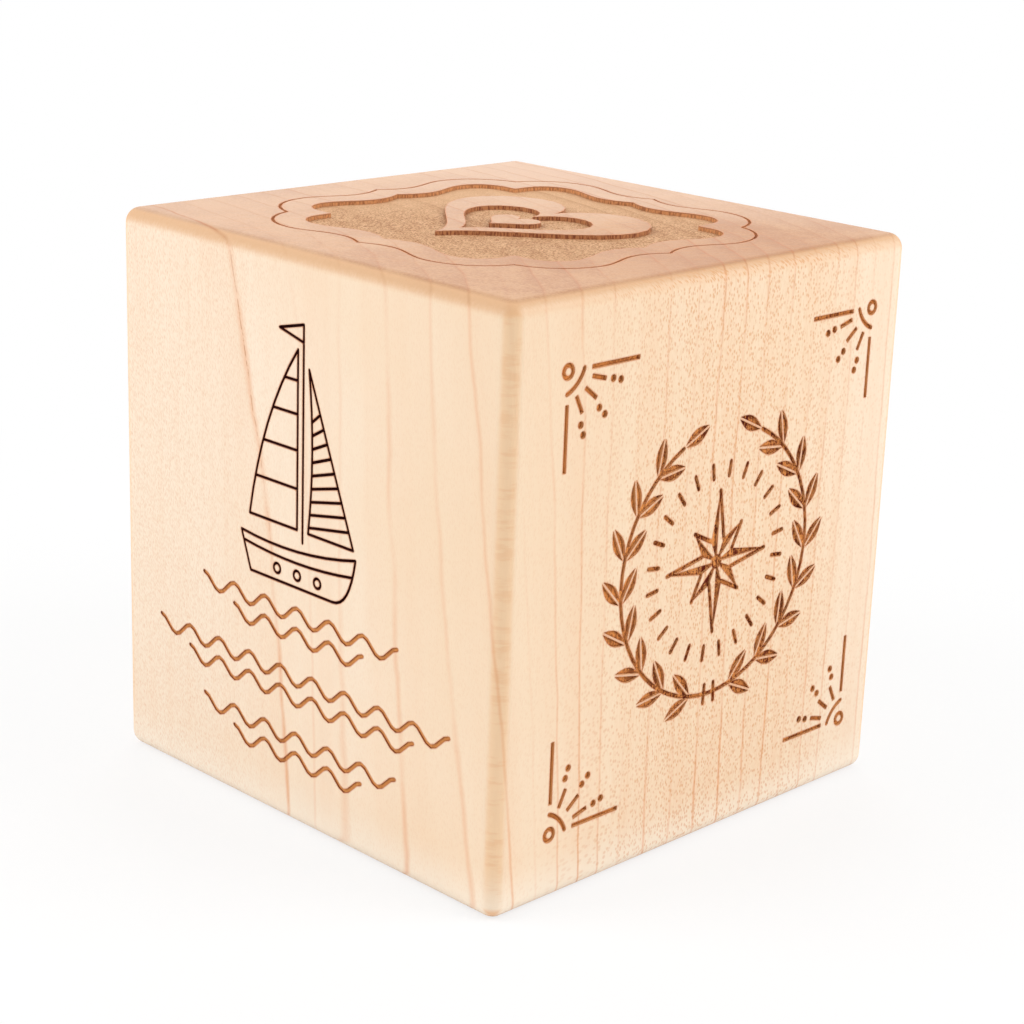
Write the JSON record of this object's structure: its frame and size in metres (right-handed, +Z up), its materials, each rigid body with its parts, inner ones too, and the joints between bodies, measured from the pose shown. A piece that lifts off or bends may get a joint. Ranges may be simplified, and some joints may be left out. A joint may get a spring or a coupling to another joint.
{
  "type": "wooden keepsake block",
  "caption": "Solid maple keepsake block with rounded edges, a scalloped plaque with a raised heart on top, and burnt engravings on the front and right side.",
  "frame": {"origin": "middle of the face that the block rests on", "axes": "+Z up; the front with the drawing faces -Y and the side with the sunbursts faces +X"},
  "size_m": [0.086, 0.086, 0.089],
  "materials": {
    "maple": "sanded smooth hard maple, bare or lightly waxed, satin",
    "burnt_field": "lightly burnt, finely ridged floor of the engraved plaque, matt",
    "charred_line": "charred near-black brown line, matt",
    "scorched_line": "golden brown scorched line, matt",
    "burnt_ornament": "mid-brown burnt engraving, mottled along the grain, matt"
  },
  "bodies": {
    "root": {"maple_block": "maple", "plaque_field_skin": "burnt_field", "heart_field_skin": "burnt_field", "border_groove_skin": "scorched_line", "boat_hull_skin": "charred_line", "boat_mast_skin": "charred_line", "mainsail_skin": "charred_line", "foresail_skin": "charred_line", "upper_ripples_skin": "scorched_line", "middle_ripples_skin": "scorched_line", "lower_ripples_skin": "scorched_line", "star_skin": "burnt_ornament", "rays_skin": "burnt_ornament", "wreath_skin": "burnt_ornament", "upper_front_sunburst_skin": "burnt_ornament", "upper_back_sunburst_skin": "burnt_ornament", "lower_front_sunburst_skin": "burnt_ornament", "lower_back_sunburst_skin": "burnt_ornament"}
  },
  "joints": []
}
